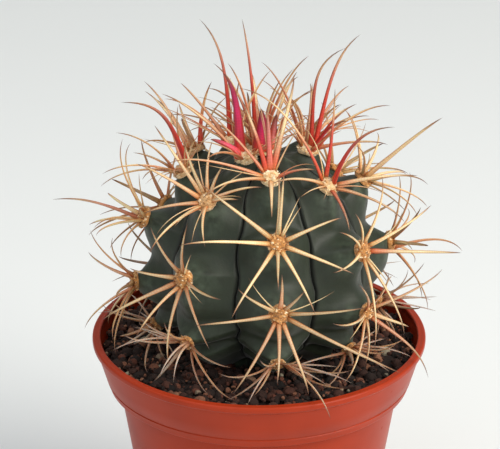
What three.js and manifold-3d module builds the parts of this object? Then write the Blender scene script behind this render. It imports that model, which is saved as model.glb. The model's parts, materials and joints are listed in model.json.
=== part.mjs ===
// A potted barrel cactus: nursery pot, soil, ribbed stem and one cluster of spines for each areole.
// Millimetres, +Z up, the front of the plant towards -Y, the origin in the middle of the pot's base.
import * as THREE from "three";
import { mergeVertices } from "three/addons/utils/BufferGeometryUtils.js";
import Module from "manifold-3d";

const wasm = await Module();
wasm.setup();

const DEGREE = Math.PI / 180;

// Pot
const POT_HEIGHT = 88;
const POT_RIM_RADIUS = 55;
const POT_BASE_RADIUS = 34.7;
const POT_WALL = 1.3;
const POT_FLOOR = 1.8;
const POT_SIDES = 48;
const COLLAR_HEIGHT = 16.7;
const COLLAR_FOOT_RADIUS = 49.8;
const COLLAR_TOP_RADIUS = 54.1;
const SHOULDER_RADIUS = 46.5;
const LIP_WIDTH = 2.7;
const LIP_HEIGHT = 2.2;
const EDGE = 0.5;
const DRAIN_COUNT = 6;
const DRAIN_RADIUS = 3;
const DRAIN_CIRCLE_RADIUS = 22;
const DRAIN_SIDES = 12;

// Soil
const SOIL_TOP = 83.2;
const SOIL_GRIT = 0.9;
const SOIL_RINGS = 4;
const STEM_DEPTH_IN_SOIL = 9;

// Gap kept between pieces that touch
const GAP = 0.3;

// Stem: a barrel whose side view is a full oval, with eight ribs
const STEM_X = 1.3;
const STEM_RADIUS = 42;
const STEM_WIDEST_Z = 112;
const STEM_CROWN_HEIGHT = 42;
const STEM_FOOT_HEIGHT = 31;
const STEM_FULLNESS = 2.3;
const STEM_ROWS = 28;
const ROW_CROWDING = 0.87;
const FURROW_DEPTH = 11;
const FLANK_ROUNDNESS = 1.4;
const FURROW_AT_CROWN = 0.08;
const FURROW_SWING = 1.2;
const NOTCH_DEPTH = 5.2;
const NOTCH_DEEPER_ABOVE = 5;
const NOTCH_END = 0.92;
const NOTCH_SKEW = 2;
const CALM_RADIUS = 24;
const RIB_STEPS = [0, 0.3, 0.56, 0.8];

// Ribs: azimuth from the front towards +X, and the latitude of each areole above the widest ring,
// both in degrees
const RIBS = [
  { name: "a", azimuth: 7, latitudes: [67, 32, 2, -32] },
  { name: "d", azimuth: 52, latitudes: [55, 20, -6, -36] },
  { name: "e", azimuth: 97, latitudes: [73, 41.5, 6.5, -27] },
  { name: "f", azimuth: 142, latitudes: [60, 26, -3, -28] },
  { name: "g", azimuth: 187, latitudes: [77, 45, 11, -19] },
  { name: "h", azimuth: 232, latitudes: [75, 51, 12, -19] },
  { name: "c", azimuth: 277, latitudes: [55, 24.5, -4, -35] },
  { name: "b", azimuth: 322, latitudes: [80, 49, 11.5, -21] },
];
const AREOLE_SPACING = 34;
const RIB_TURN = 360 / RIBS.length;

// Growth by latitude: the crown's newest areoles, the young ones and the oldest at the foot
const NEWEST_FROM = 70;
const YOUNG_FROM = 48;
const OLD_BELOW = -12;

// Spines
const SPINE_RADIUS = 0.75;
const YOUNG_SPINE_RADIUS = 0.95;
const SPINE_RINGS = [0, 0.42, 0.78];
const SPINE_TAPER = [1, 0.88, 0.55];
const SPINE_BOW = 0.07;
const BOW_STARTS = 0.35;
const BOW_ENDS = 0.75;
const ROOT_SPREAD = 2;
const ROOT_HEIGHT = 1.15;
const PAD_HALF_WIDTH = 2.9;
const PAD_HALF_LENGTH = 3.2;
const PAD_THICKNESS = 2.5;
const PAD_FOOT_DROP = 0.45;
const PAD_SHOULDER = 0.72;
const PAD_SHOULDER_HEIGHT = 0.78;
const PAD_COLUMNS = 8;
const CROWN_PAD_RADIUS = 5.6;
const CROWN_ROOT_SPREAD = 3.6;
const SPINE_CLEARANCE = 0.5;
const SKIN_CLEARANCE = 1.3;
const WELD = 0.01;

// Stars of spines on the ribs at the front. Each spine is its clock hour round the areole (12 is up the
// rib), its rise off the skin in degrees and its length. A fourth number is its own bow as a share of its
// length, and a fifth its own radius, where they are unlike the rest. The stars near the crown come first,
// so that their spines keep their place where the crowd is thick.
const STARS = {
  h1: [
    [6.2, 86, 40, 0.09], [11, 78, 19], [6, 50, 24], [8, 45, 22], [10, 50, 24], [4.5, 45, 24],
  ],
  e1: [
    [6.1, 84, 41, 0.1], [7.2, 88, 36, 0.1], [0.3, 50, 31], [6.1, 62, 20, 0.1], [6, 43, 28, 0.1],
    [6, 14, 24], [12, 59, 18], [8, 51, 20], [3, 35, 24],
  ],
  g1: [
    [5.2, 84, 37], [9.1, 59, 29], [8.9, 64, 23], [3, 60, 26], [6, 45, 24], [7.6, 40, 24],
    [4.5, 35, 24], [10.5, 56, 20],
  ],
  b1: [
    [9.1, 86, 28, 0.04, 1.5], [8, 44, 32, 0.06], [7.6, 38, 11, 0.04, 1.2], [5.8, 25, 22],
    [10.2, 64, 20],
  ],
  d1: [
    [4, 77, 30, 0.16], [0.7, 50, 29, 0.02], [11.1, 21, 42, 0.1], [9.8, -2, 20], [4.2, 24, 27],
    [5.2, 6, 25], [6.8, -4, 17],
  ],
  a1: [
    [0.7, 26, 31, 0.05, 1], [11.1, 49, 24, 0.05, 1], [12, 43, 20, 0.05, 1], [3.4, 18, 13],
    [6.2, 6, 18], [7.9, 12, 27], [8.9, 15, 33], [10.4, 30, 26],
  ],
  c1: [
    [6.2, 88, 30, 0.24, 0.95], [6, 70, 24, 0.12], [6.5, 56, 15], [5.9, 35, 24, 0.12],
    [5.9, 25, 25, 0.14], [4.6, 32, 15, 0.18], [11.1, 59, 19], [9.5, 25, 22], [3, 18, 20],
  ],
  a2: [
    [9, 15, 31], [10.3, 15, 30], [11.7, 20, 20], [12.2, 25, 22], [2.4, 15, 20], [3.9, 15, 24],
    [5.3, 20, 25], [7.2, 20, 29], [6.3, 45, 20],
  ],
  a3: [
    [9.1, 15, 27], [10.4, 18, 18], [1.2, 20, 11], [2.6, 20, 26], [3.8, 18, 40], [5.4, 20, 25],
    [7.2, 18, 27], [12, 12, 14], [6.4, 50, 22],
  ],
  a4: [
    [9.7, 12, 20], [8.3, 30, 18], [7.7, 48, 18], [1.6, 57, 29, -0.15], [2.4, 14, 23], [2.9, 24, 22],
    [11, 12, 14], [0.8, 12, 14],
  ],
  b2: [
    [9.9, 20, 28], [10.6, 25, 19], [11.6, 25, 17], [12.5, 30, 18], [2, 12, 19], [2.6, 8, 11],
    [4.8, 12, 19], [6.3, 15, 24], [7.6, 18, 18], [9.1, 22, 24],
  ],
  b3: [
    [12.4, 15, 20], [11, 20, 18], [9, 16, 16], [7.7, 22, 28], [5.7, 15, 26], [4.4, 15, 24],
    [3, 15, 19], [6.4, 45, 22],
  ],
  b4: [
    [10.7, 14, 16], [9.5, 22, 19], [7.4, 40, 21], [4.5, 29, 22], [3.6, 19, 25], [2.7, 12, 22],
    [12, 12, 14],
  ],
  h2: [
    [11, 48, 21, 0.05, 1.3], [4.1, 86, 27, 0.03], [7.2, 41, 18], [7.9, 53, 20], [5.9, 84, 20],
    [6.8, 64, 28], [10.3, 32, 17], [3, 24, 20], [1.4, 30, 18],
  ],
  c2: [
    [6.6, 84, 29, 0.1], [0.6, 28, 31], [10.1, 16, 26], [3.3, 40, 25], [5.5, 64, 15, 0.2], [7.2, 45, 18, 0.15],
    [4.4, 14, 15], [2, 12, 20], [8.6, 18, 24],
  ],
  c3: [
    [11.4, 30, 20], [9.3, 35, 22], [4.8, 20, 23], [2.6, 15, 22], [3.8, 15, 24], [7, 20, 24],
    [6.2, 50, 22], [12.7, 15, 20],
  ],
  d2: [
    [11.2, 20, 15], [12.6, 20, 23], [2.4, 30, 25], [3.7, 22, 34], [9, 15, 20], [7, 14, 31],
    [6.1, 18, 28], [10.2, 15, 18],
  ],
  d3: [
    [9.6, 9, 27], [7.8, 12, 24], [6.6, 15, 15], [4.9, 30, 31], [2.2, 22, 27], [4, 20, 17],
    [12, 15, 14], [10.8, 12, 18],
  ],
  e2: [
    [9.6, 66, 36.5], [8.2, 40, 24], [12.5, 25, 22], [1.5, 20, 22], [4.5, 20, 22], [6, 20, 22],
    [7.3, 15, 20], [10.6, 18, 22], [3, 25, 22],
  ],
  e3: [
    [6.5, 79, 23, 0.1], [12, 20, 22], [1.5, 20, 22], [3, 22, 24], [4.5, 22, 24], [6, 22, 22],
    [7.4, 18, 24], [9.6, 16, 22], [10.8, 18, 20],
  ],
};

// Spines of the crown: azimuth they lean towards, lean off the vertical in degrees, length, bow and radius
const CROWN_SPINES = [
  [265, 16, 28.5], [350, 4, 14, 0.03, 1.6], [50, 10, 12, 0.03, 1.3], [310, 20, 15], [62, 34, 27],
  [140, 34, 24], [284, 44, 20],
];

// The stars at the back follow one rule: eight spines round the areole and one that stands out
const STAR_HOURS = [0.3, 1.8, 3.2, 4.5, 5.7, 7.2, 8.7, 10.3];
const STAR_RISE = 20;
const STAR_LENGTH = 24;
const YOUNG_RISE = 14;
const CENTRAL_RISE = 55;
const SHORTEN_AT_FOOT = 0.72;
const JITTER_SEED = 41;

let jitterState = JITTER_SEED;

// The next number of a fixed random series, from -1 to 1
function jitter() {
  jitterState = (jitterState * 16807) % 2147483647;
  return (jitterState / 2147483647) * 2 - 1;
}

// Solids
function solidOf(geometry) {
  const bare = geometry.clone();
  bare.deleteAttribute("normal");
  bare.deleteAttribute("uv");
  const merged = mergeVertices(bare, 1e-4);
  const vertProperties = merged.attributes.position.array;
  const triVerts = new Uint32Array(merged.index.array);
  return new wasm.Manifold(new wasm.Mesh({ numProp: 3, vertProperties, triVerts }));
}

function geometryOf(solid) {
  const { vertProperties, triVerts } = solid.getMesh();
  const geometry = new THREE.BufferGeometry();
  geometry.setAttribute("position", new THREE.BufferAttribute(vertProperties, 3));
  geometry.setIndex(new THREE.BufferAttribute(triVerts, 1));
  geometry.computeVertexNormals();
  return geometry;
}

// A closed surface woven through columns of points that all start on one pole and end on the other.
// Seen from the first pole, the columns run counterclockwise.
function wovenGeometry(columns) {
  const inner = columns[0].length - 2;
  const positions = [...columns[0][0].toArray(), ...columns[0][inner + 1].toArray()];
  columns.forEach((column) => column.slice(1, -1).forEach((point) => positions.push(...point.toArray())));
  const at = (column, row) => 2 + (column % columns.length) * inner + row;
  const faces = [];
  columns.forEach((_, c) => {
    faces.push(0, at(c, 0), at(c + 1, 0));
    faces.push(1, at(c + 1, inner - 1), at(c, inner - 1));
    for (let row = 0; row < inner - 1; row += 1) {
      faces.push(at(c, row), at(c + 1, row + 1), at(c + 1, row));
      faces.push(at(c, row), at(c, row + 1), at(c + 1, row + 1));
    }
  });
  const geometry = new THREE.BufferGeometry();
  geometry.setAttribute("position", new THREE.Float32BufferAttribute(positions, 3));
  geometry.setIndex(faces);
  geometry.computeVertexNormals();
  return geometry;
}

// Pot
const collarFoot = POT_HEIGHT - COLLAR_HEIGHT;
const collarRise = COLLAR_HEIGHT - LIP_HEIGHT;

function collarRadius(z) {
  return COLLAR_FOOT_RADIUS + ((COLLAR_TOP_RADIUS - COLLAR_FOOT_RADIUS) * (z - collarFoot)) / collarRise;
}

function wallRadius(z) {
  return POT_BASE_RADIUS + ((SHOULDER_RADIUS - POT_BASE_RADIUS) * z) / collarFoot;
}

// Radius of the pot's inner face at a height
function innerRadius(z) {
  return (z > collarFoot + POT_WALL ? collarRadius(z) : wallRadius(z)) - POT_WALL;
}

function potGeometry() {
  const lipFoot = POT_HEIGHT - LIP_HEIGHT;
  const lipInner = POT_RIM_RADIUS - LIP_WIDTH;
  const step = collarFoot + POT_WALL;
  const profile = [
    [0, 0],
    [POT_BASE_RADIUS - 2 * EDGE, 0],
    [wallRadius(2 * EDGE), 2 * EDGE],
    [SHOULDER_RADIUS, collarFoot],
    [COLLAR_FOOT_RADIUS - EDGE, collarFoot],
    [collarRadius(collarFoot + EDGE), collarFoot + EDGE],
    [COLLAR_TOP_RADIUS, lipFoot],
    [POT_RIM_RADIUS, lipFoot + EDGE],
    [POT_RIM_RADIUS, POT_HEIGHT - EDGE],
    [POT_RIM_RADIUS - EDGE, POT_HEIGHT],
    [lipInner + EDGE, POT_HEIGHT],
    [lipInner, POT_HEIGHT - EDGE],
    [innerRadius(lipFoot), lipFoot],
    [collarRadius(step) - POT_WALL, step],
    [wallRadius(step) - POT_WALL, step],
    [innerRadius(POT_FLOOR), POT_FLOOR],
    [0, POT_FLOOR],
  ];
  const turned = new THREE.LatheGeometry(profile.map(([r, z]) => new THREE.Vector2(r, z)), POT_SIDES);
  let pot = solidOf(turned.rotateX(Math.PI / 2));
  for (let i = 0; i < DRAIN_COUNT; i += 1) {
    const angle = (i * 2 * Math.PI) / DRAIN_COUNT;
    const drain = new THREE.CylinderGeometry(DRAIN_RADIUS, DRAIN_RADIUS, 4 * POT_FLOOR, DRAIN_SIDES);
    drain.rotateX(Math.PI / 2);
    drain.translate(DRAIN_CIRCLE_RADIUS * Math.cos(angle), DRAIN_CIRCLE_RADIUS * Math.sin(angle), 0);
    pot = pot.subtract(solidOf(drain));
  }
  return geometryOf(pot);
}

// Stem
const ribAfter = (index) => RIBS[(index + 1) % RIBS.length];
const heightOfHalf = (latitude) => (latitude < 0 ? STEM_FOOT_HEIGHT : STEM_CROWN_HEIGHT);

// The point of the oval at a latitude in degrees: its radius and height, and its outward direction
function ovalAt(latitude) {
  const half = heightOfHalf(latitude);
  const side = Math.cos(latitude * DEGREE);
  const up = Math.abs(Math.sin(latitude * DEGREE));
  const power = 2 / STEM_FULLNESS;
  const outward = new THREE.Vector2(side ** (2 - power) / STEM_RADIUS, up ** (2 - power) / half).normalize();
  const sign = Math.sign(latitude);
  return {
    radius: STEM_RADIUS * side ** power,
    z: STEM_WIDEST_Z + sign * half * up ** power,
    outRadial: outward.x,
    outUp: sign * outward.y,
  };
}

// How deep the rib is notched at a latitude: 0 on the knob of an areole, 1 in the crease over the shoulder
// of the next knob below, which is reached at the notch's end
function notchAt(rib, latitude) {
  const above = rib.latitudes[0] + AREOLE_SPACING;
  const below = rib.latitudes.at(-1) - AREOLE_SPACING / 2;
  const stops = [above, ...rib.latitudes, below];
  const next = stops.findIndex((stop) => stop <= latitude);
  if (next < 1) {
    return 0;
  }
  const along = (stops[next - 1] - latitude) / (stops[next - 1] - stops[next]);
  return Math.sin(Math.PI * Math.min(1, along / NOTCH_END) ** NOTCH_SKEW);
}

// Azimuth of the furrow after a rib: it swings round the knobs on both sides
function furrowAfter(index, latitude) {
  const rib = RIBS[index];
  const swing = FURROW_SWING * (notchAt(ribAfter(index), latitude) - notchAt(rib, latitude));
  return rib.azimuth + RIB_TURN / 2 + swing;
}

// How far the skin lies out from the oval, on a rib, at a share of the way from crest (0) to furrow (1)
function skinOffset(rib, latitude, share) {
  const { radius } = ovalAt(latitude);
  const notch = notchAt(rib, latitude);
  const deeper = NOTCH_DEEPER_ABOVE * Math.max(0, Math.sin(latitude * DEGREE));
  const notchDepth = (NOTCH_DEPTH + deeper) * Math.min(1, radius / CALM_RADIUS);
  const deepest = FURROW_DEPTH * Math.min(1, radius / STEM_RADIUS + FURROW_AT_CROWN);
  return -deepest * share ** FLANK_ROUNDNESS - notchDepth * notch * (1 - share);
}

// A direction from the stem's axis at an azimuth
const outwards = (azimuth) => new THREE.Vector3(Math.sin(azimuth * DEGREE), -Math.cos(azimuth * DEGREE), 0);

// A point over the oval, standing off it by an offset
function stemPoint(latitude, azimuth, offset) {
  const oval = ovalAt(latitude);
  const point = outwards(azimuth).multiplyScalar(oval.radius + oval.outRadial * offset);
  return point.add(new THREE.Vector3(STEM_X, 0, oval.z + oval.outUp * offset));
}

// The latitude of the stem where it enters the soil
const soilDepth = (STEM_WIDEST_Z - SOIL_TOP) / STEM_FOOT_HEIGHT;
const soilLatitude = -Math.asin(soilDepth ** (STEM_FULLNESS / 2)) / DEGREE;

// The skin's meridians: on each rib, the steps from its crest to the furrow after it and on to the next crest
const MERIDIANS = RIBS.flatMap((rib, index) => [
  ...RIB_STEPS.map((share) => ({ rib, index, share, side: 1 })),
  { rib, index, share: 1, side: 1 },
  ...RIB_STEPS.slice(1).reverse().map((share) => ({ rib: ribAfter(index), index, share, side: -1 })),
]);

function meridianPoint({ rib, index, share, side }, latitude) {
  const furrow = furrowAfter(index, latitude);
  const crest = side > 0 ? rib.azimuth : RIBS[index].azimuth + RIB_TURN;
  const azimuth = crest + (furrow - crest) * share;
  return stemPoint(latitude, azimuth, skinOffset(rib, latitude, share));
}

function stemGeometry() {
  const rows = [];
  for (let row = 1; row <= STEM_ROWS; row += 1) {
    rows.push(90 + (soilLatitude - 90) * (row / STEM_ROWS) ** ROW_CROWDING);
  }
  const foot = new THREE.Vector3(STEM_X, 0, SOIL_TOP - STEM_DEPTH_IN_SOIL);
  const top = stemPoint(90, 0, 0);
  const columns = MERIDIANS.map((meridian) => {
    const points = rows.map((latitude) => meridianPoint(meridian, latitude));
    const below = points.at(-1).clone().setZ(foot.z);
    return [top, ...points, below, foot];
  });
  return wovenGeometry(columns);
}

// Soil: a plug that fills the pot, with a gritty top and a plain hole for the stem
function soilGeometry() {
  const holeBottom = SOIL_TOP - STEM_DEPTH_IN_SOIL - GAP;
  const step = collarFoot + POT_WALL;
  const floor = POT_FLOOR + GAP;
  const room = POT_WALL + 1.5 * GAP;
  const outerPoints = [
    [wallRadius(floor) - room, floor],
    [wallRadius(step) - room, step + GAP],
    [collarRadius(step) - room, step + GAP],
  ];
  const edgeZ = SOIL_TOP - SOIL_GRIT;
  const edge = collarRadius(edgeZ) - room;
  const columns = MERIDIANS.map((meridian) => {
    const hole = meridianPoint(meridian, soilLatitude);
    const axis = new THREE.Vector3(STEM_X, 0, hole.z);
    const out = hole.clone().sub(axis).normalize();
    hole.addScaledVector(out, GAP * 1.5);
    const angle = Math.atan2(out.y, out.x);
    const outer = (radius, z) => new THREE.Vector3(radius * Math.cos(angle), radius * Math.sin(angle), z);
    const rim = outer(edge, edgeZ);
    const rings = [];
    for (let ring = 1; ring < SOIL_RINGS; ring += 1) {
      const spot = rim.clone().lerp(hole, ring / SOIL_RINGS);
      rings.push(spot.setZ(SOIL_TOP + SOIL_GRIT * jitter()));
    }
    return [
      new THREE.Vector3(0, 0, floor),
      ...outerPoints.map(([radius, z]) => outer(radius, z)),
      rim,
      ...rings,
      hole.clone().setZ(SOIL_TOP - SOIL_GRIT / 2),
      hole.clone().setZ(holeBottom),
      new THREE.Vector3(STEM_X, 0, holeBottom),
    ];
  });
  return wovenGeometry(columns.reverse());
}

// The frame of an areole: its place, the way out of the skin, up the rib, and to the right seen from outside
function areoleFrame(rib, latitude) {
  const place = stemPoint(latitude, rib.azimuth, skinOffset(rib, latitude, 0));
  const oval = ovalAt(latitude);
  const out = outwards(rib.azimuth).multiplyScalar(oval.outRadial).setZ(oval.outUp);
  const up = new THREE.Vector3(0, 0, 1).addScaledVector(out, -out.z).normalize();
  const right = new THREE.Vector3().crossVectors(up, out);
  return { place, out, up, right, spread: ROOT_SPREAD, width: PAD_HALF_WIDTH, length: PAD_HALF_LENGTH };
}

// The curve of a spine: it leaves its root a little steeper than its chord and bows back
function spineCurve({ place, out, up, right, spread }, [hour, rise, length], bow) {
  const turn = hour * 30 * DEGREE;
  const flat = up.clone().multiplyScalar(Math.cos(turn)).addScaledVector(right, Math.sin(turn));
  const chord = flat.clone().multiplyScalar(Math.cos(rise * DEGREE));
  chord.addScaledVector(out, Math.sin(rise * DEGREE));
  const lift = out.clone().addScaledVector(chord, -chord.dot(out)).normalize();
  const root = place.clone().addScaledVector(flat, spread).addScaledVector(out, ROOT_HEIGHT);
  const onChord = (share) => root.clone().addScaledVector(chord, length * share);
  const first = onChord(BOW_STARTS).addScaledVector(lift, length * bow);
  const second = onChord(BOW_ENDS).addScaledVector(lift, length * bow);
  return new THREE.CubicBezierCurve3(root, first, second, onChord(1));
}

// A three-sided tapered spine along a curve, pointed at its far end
function spineGeometry(curve, radius) {
  const tangent = curve.getTangent(0);
  const side = new THREE.Vector3(0.31, 0.17, 0.94).cross(tangent).normalize();
  const corners = [0, 1, 2].map((corner) => corner * 120 * DEGREE);
  const columns = corners.map((corner) => {
    const ring = SPINE_RINGS.map((t, i) => {
      const along = curve.getTangent(t);
      const across = side.clone().addScaledVector(along, -side.dot(along)).normalize();
      const direction = across.applyAxisAngle(along, corner);
      return curve.getPoint(t).addScaledVector(direction, radius * SPINE_TAPER[i]);
    });
    return [curve.getPoint(0), ...ring, curve.getPoint(1)];
  });
  return wovenGeometry(columns.reverse());
}

// The rib at an azimuth, and how far that is from its crest (0) towards its furrow (1)
function ribShare(latitude, azimuth) {
  for (let index = 0; index < RIBS.length; index += 1) {
    const crest = RIBS[index].azimuth;
    const previous = (index + RIBS.length - 1) % RIBS.length;
    const turn = ((azimuth - crest + 540) % 360) - 180;
    const after = furrowAfter(index, latitude) - crest;
    const before = furrowAfter(previous, latitude) - RIBS[previous].azimuth - RIB_TURN;
    if (turn >= before && turn <= after) {
      return { rib: RIBS[index], share: Math.min(1, turn > 0 ? turn / after : turn / before) };
    }
  }
  return { rib: RIBS[0], share: 0 };
}

// Distance of a point from the skin, close to it
function skinDistance(point) {
  const x = point.x - STEM_X;
  const radius = Math.hypot(x, point.y);
  const height = point.z - STEM_WIDEST_Z;
  const half = heightOfHalf(height);
  const across = (radius / STEM_RADIUS) ** STEM_FULLNESS;
  const upward = (Math.abs(height) / half) ** STEM_FULLNESS;
  const slope = STEM_FULLNESS * Math.hypot(across / radius, upward / Math.max(1e-6, Math.abs(height)));
  const latitude = (Math.sign(height) * Math.atan2(Math.sqrt(upward), Math.sqrt(across))) / DEGREE;
  const azimuth = Math.atan2(x, -point.y) / DEGREE;
  const { rib, share } = ribShare(latitude, azimuth);
  return (across + upward - 1) / slope - skinOffset(rib, latitude, share);
}

// Distance of a point from the pot and the soil
function potDistance(point) {
  const radius = Math.hypot(point.x, point.y);
  const overSoil = point.z - SOIL_TOP - SOIL_GRIT;
  const overRim = point.z - POT_HEIGHT;
  if (radius < POT_RIM_RADIUS - LIP_WIDTH) {
    const fromLip = Math.hypot(POT_RIM_RADIUS - LIP_WIDTH - radius, Math.max(0, overRim));
    return Math.min(overSoil, overRim > 0 ? Math.max(overRim, fromLip) : fromLip);
  }
  return Math.max(overRim, radius - POT_RIM_RADIUS);
}

const PATH_STRETCHES = 5;
const PATH_SPOTS = 24;
const FREE_SPOTS = 8;
const placedPaths = [];
const padCentres = [];

// Nearest distance between two straight stretches
function stretchDistance(a, b, c, d) {
  const u = b.clone().sub(a);
  const v = d.clone().sub(c);
  const w = a.clone().sub(c);
  const uu = u.dot(u);
  const uv = u.dot(v);
  const vv = v.dot(v);
  const uw = u.dot(w);
  const vw = v.dot(w);
  const clamp = (value) => Math.min(1, Math.max(0, value));
  const skew = uu * vv - uv * uv;
  let s = skew > 1e-9 ? clamp((uv * vw - vv * uw) / skew) : 0;
  const t = clamp((uv * s + vw) / vv);
  s = clamp((uv * t - uw) / uu);
  return w.addScaledVector(u, s).addScaledVector(v, -t).length();
}

// A spine's path as straight stretches, with the ball that holds it
function pathOf(curve, radius) {
  const points = curve.getPoints(PATH_STRETCHES);
  const spots = curve.getPoints(PATH_SPOTS);
  const ball = new THREE.Sphere().setFromPoints(points);
  return { points, spots, ball, radius };
}

function pathsClear(path, other) {
  const room = path.radius + other.radius + SPINE_CLEARANCE;
  if (path.ball.center.distanceTo(other.ball.center) > path.ball.radius + other.ball.radius + room) {
    return true;
  }
  for (let i = 0; i + 1 < path.points.length; i += 1) {
    for (let j = 0; j + 1 < other.points.length; j += 1) {
      if (stretchDistance(path.points[i], path.points[i + 1], other.points[j], other.points[j + 1]) < room) {
        return false;
      }
    }
  }
  return true;
}

function hasRoom(path, areole) {
  const outer = path.spots.slice(FREE_SPOTS);
  const offSkin = outer.every((point) => skinDistance(point) > path.radius + SKIN_CLEARANCE);
  const offPot = path.spots.every((point) => potDistance(point) > path.radius + GAP);
  if (!offSkin || !offPot) {
    return false;
  }
  const offPads = padCentres.every(({ name, centre }) => {
    const room = PAD_HALF_LENGTH + path.radius + SPINE_CLEARANCE;
    return name === areole || path.points.every((point, i) => {
      const next = path.points[Math.min(i + 1, path.points.length - 1)];
      const nearest = new THREE.Line3(point, next).closestPointToPoint(centre, true, new THREE.Vector3());
      return nearest.distanceTo(centre) > room;
    });
  });
  return offPads && placedPaths.every((other) => other.areole === areole || pathsClear(path, other));
}

// Small changes tried in turn, the smallest first, until a spine has room
const TURNS = [0, 5, -5, 10, -10, 16, -16, 24, -24];
const RISES = [0, 6, -5, 12, 18, 26, 36, 48];
const SCALES = [1, 0.88, 0.75, 0.6];
const CHANGES = TURNS
  .flatMap((turn) => RISES.flatMap((rise) => SCALES.map((scale) => ({
    turn,
    rise,
    scale,
    cost: Math.abs(turn) / 5 + Math.abs(rise) / 6 + (1 - scale) * 9,
  }))))
  .sort((a, b) => a.cost - b.cost);

function placeSpine(frame, areole, [hour, rise, length, ownBow, ownRadius], starRadius) {
  const bow = ownBow ?? SPINE_BOW * (1 + 0.5 * jitter());
  const radius = ownRadius ?? starRadius;
  for (const change of CHANGES) {
    const spine = [hour + change.turn / 30, rise + change.rise, length * change.scale];
    const curve = spineCurve(frame, spine, bow);
    const path = pathOf(curve, radius);
    if (hasRoom(path, areole)) {
      placedPaths.push({ ...path, areole });
      return { curve, radius };
    }
  }
  return null;
}

// The star of an areole that has none of its own in the list
function plainStar(latitude) {
  const old = latitude < OLD_BELOW ? SHORTEN_AT_FOOT : 1;
  const young = latitude > YOUNG_FROM ? YOUNG_RISE : 0;
  const star = STAR_HOURS.map((hour) => [
    hour + 0.25 * jitter(),
    STAR_RISE + young + 5 * jitter(),
    old * (STAR_LENGTH + 4 * jitter()),
  ]);
  return [...star, [6 + jitter(), CENTRAL_RISE + 8 * jitter(), old * STAR_LENGTH]];
}

// The woolly pad of an areole: a low oval dome whose foot drops on its lower side, as the knob does
function padGeometry({ place, out, up, right, width, length }) {
  const toPlace = new THREE.Matrix4().makeBasis(right, up, out).setPosition(place);
  const point = (x, y, z) => new THREE.Vector3(x, y, z).applyMatrix4(toPlace);
  const columns = [];
  for (let i = 0; i < PAD_COLUMNS; i += 1) {
    const turn = (i * 2 * Math.PI) / PAD_COLUMNS;
    const x = width * Math.cos(turn);
    const y = length * Math.sin(turn);
    const footDrop = PAD_FOOT_DROP * Math.min(0, Math.sin(turn)) ** 2;
    columns.push([
      point(0, 0, PAD_THICKNESS),
      point(PAD_SHOULDER * x, PAD_SHOULDER * y, PAD_SHOULDER_HEIGHT * PAD_THICKNESS),
      point(x, y, GAP / 2 - footDrop),
      point(0, 0, GAP),
    ]);
  }
  return wovenGeometry(columns);
}

// The pad with its spines in one body
function clusterGeometry(frame, grown) {
  const pad = solidOf(padGeometry(frame));
  const spines = grown.map(({ curve, radius }) => solidOf(spineGeometry(curve, radius)));
  return geometryOf(wasm.Manifold.union([pad, ...spines]).simplify(WELD));
}

// Materials
const material = (color, roughness) => new THREE.MeshStandardMaterial({ color, roughness, metalness: 0 });
const POT_PLASTIC = material("#a8503c", 0.45);
const SOIL_GRAIN = material("#2a1c14", 0.95);
const SKIN = material("#46523f", 0.6);
const YOUNG_SPINE = material("#c8452c", 0.5);
const STRAW_SPINE = material("#e0b884", 0.55);
const OLD_SPINE = material("#b59c88", 0.7);

const spineMaterial = (latitude) => {
  if (latitude > YOUNG_FROM) {
    return YOUNG_SPINE;
  }
  return latitude < OLD_BELOW ? OLD_SPINE : STRAW_SPINE;
};

// The potted plant
const plant = new THREE.Group();

function addPiece(name, geometry, look) {
  const piece = new THREE.Mesh(geometry, look);
  piece.name = name;
  plant.add(piece);
}

addPiece("pot", potGeometry(), POT_PLASTIC);
addPiece("soil", soilGeometry(), SOIL_GRAIN);
addPiece("cactus_stem", stemGeometry(), SKIN);

const areoles = RIBS.flatMap((rib) => rib.latitudes.map((latitude, i) => {
  const name = `${rib.name}${i + 1}`;
  return { name, latitude, frame: areoleFrame(rib, latitude) };
}));
areoles.forEach(({ name, frame }) => padCentres.push({ name, centre: frame.place }));

// The crown's own frame stands straight up, with hour 12 to the back
const crownFrame = {
  place: stemPoint(90, 0, 0),
  out: new THREE.Vector3(0, 0, 1),
  up: new THREE.Vector3(0, 1, 0),
  right: new THREE.Vector3(1, 0, 0),
  spread: CROWN_ROOT_SPREAD,
  width: CROWN_PAD_RADIUS,
  length: CROWN_PAD_RADIUS,
};
const crownStar = CROWN_SPINES.map(([azimuth, lean, ...rest]) => [(180 - azimuth) / 30, 90 - lean, ...rest]);
const crown = { name: "crown", latitude: 90, frame: crownFrame };

const listed = Object.keys(STARS).map((star) => areoles.find(({ name }) => name === star));
const plain = areoles.filter(({ name }) => !STARS[name]);
[crown, ...listed, ...plain].forEach(({ name, latitude, frame }) => {
  const radius = latitude > NEWEST_FROM ? YOUNG_SPINE_RADIUS : SPINE_RADIUS;
  const star = name === "crown" ? crownStar : STARS[name] ?? plainStar(latitude);
  const grown = star.map((spine) => placeSpine(frame, name, spine, radius)).filter((spine) => spine);
  addPiece(`spines_${name}`, clusterGeometry(frame, grown), spineMaterial(latitude));
});

export default plant;
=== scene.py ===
"""Looks of a potted barrel cactus: plastic pot, gritty soil, ribbed stem and stars of spines on felt pads."""

import json
import math
import random

import bmesh
import bpy
import numpy as np
from mathutils import Matrix, Vector, noise


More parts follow.
